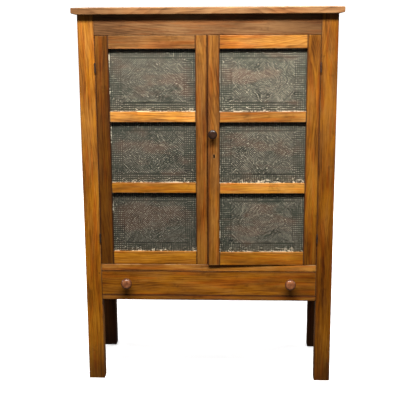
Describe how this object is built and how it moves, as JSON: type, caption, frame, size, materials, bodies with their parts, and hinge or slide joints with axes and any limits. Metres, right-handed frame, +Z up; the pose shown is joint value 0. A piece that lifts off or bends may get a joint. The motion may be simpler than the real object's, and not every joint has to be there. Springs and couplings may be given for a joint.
{
  "type": "pie safe",
  "caption": "Free-standing food cupboard on square legs, with two punched-tin doors over a dovetailed drawer.",
  "frame": {"origin": "on the floor, under the middle of the bounding box", "axes": "+Z up, the doors and the drawer face -Y, +X to the right as seen from the front"},
  "size_m": [1.03, 0.46, 1.5041],
  "materials": {
    "case_wood": "worn varnish over brown-orange stained boards",
    "door_wood": "worn varnish over honey-orange stained boards",
    "inner_wood": "bare aged wood",
    "knob_wood": "dark turned wood, polished by use",
    "punched_tin": "aged grey-green tinned sheet with rust and paint residue",
    "iron": "dull brown-black iron"
  },
  "bodies": {
    "case": {"front_left_post": "case_wood", "front_right_post": "case_wood", "rear_left_post": "case_wood", "rear_right_post": "case_wood", "top_board": "case_wood", "front_top_rail": "case_wood", "front_middle_rail": "case_wood", "front_bottom_rail": "case_wood", "rear_top_rail": "inner_wood", "rear_bottom_rail": "inner_wood", "left_side_top_rail": "case_wood", "right_side_top_rail": "case_wood", "left_side_bottom_rail": "case_wood", "right_side_bottom_rail": "case_wood", "left_side_panel": "case_wood", "right_side_panel": "case_wood", "back_boards": "inner_wood", "cupboard_floor": "inner_wood", "lower_shelf": "inner_wood", "upper_shelf": "inner_wood", "shelf_cleats": "inner_wood", "drawer_runners": "inner_wood", "drawer_kickers": "inner_wood", "hinge_post_leaves": "iron"},
    "left_door": {"left_door_bottom_rail": "door_wood", "left_door_lower_mid_rail": "door_wood", "left_door_upper_mid_rail": "door_wood", "left_door_top_rail": "door_wood", "left_door_hinge_stile": "door_wood", "left_door_meeting_stile": "door_wood", "left_door_lower_tin": "punched_tin", "left_door_middle_tin": "punched_tin", "left_door_upper_tin": "punched_tin", "left_door_tin_strips": "inner_wood", "left_door_hinge_leaves": "iron", "left_door_bolt_plate": "iron"},
    "left_door_bolt": {"left_door_bolt": "iron"},
    "right_door": {"right_door_bottom_rail": "door_wood", "right_door_lower_mid_rail": "door_wood", "right_door_upper_mid_rail": "door_wood", "right_door_top_rail": "door_wood", "right_door_hinge_stile": "door_wood", "right_door_meeting_stile": "door_wood", "right_door_lower_tin": "punched_tin", "right_door_middle_tin": "punched_tin", "right_door_upper_tin": "punched_tin", "right_door_tin_strips": "inner_wood", "right_door_hinge_leaves": "iron", "door_knob": "knob_wood", "lock_case": "iron"},
    "lock_bolt": {"lock_bolt": "iron"},
    "drawer": {"drawer_front": "case_wood", "drawer_left_side": "inner_wood", "drawer_right_side": "inner_wood", "drawer_back": "inner_wood", "drawer_bottom": "inner_wood", "drawer_knobs": "knob_wood"}
  },
  "joints": [
    {"name": "left_door_hinge", "type": "hinge", "parent": "case", "child": "left_door", "pos_m": [-0.4315, -0.1938, 0.4955], "axis": [0, 0, -1], "range_deg": [0, 170]},
    {"name": "right_door_hinge", "type": "hinge", "parent": "case", "child": "right_door", "pos_m": [0.4315, -0.1938, 0.4955], "axis": [0, 0, 1], "range_deg": [-1.4, 168.6]},
    {"name": "drawer_slide", "type": "slide", "parent": "case", "child": "drawer", "axis": [0, -1, 0], "range_m": [0, 0.3]},
    {"name": "left_door_bolt_slide", "type": "slide", "parent": "left_door", "child": "left_door_bolt", "axis": [0, 0, 1], "range_m": [0, 0.013]},
    {"name": "lock_bolt_slide", "type": "slide", "parent": "right_door", "child": "lock_bolt", "axis": [-0.9997, -0.0244, 0], "range_m": [0, 0.009]}
  ]
}
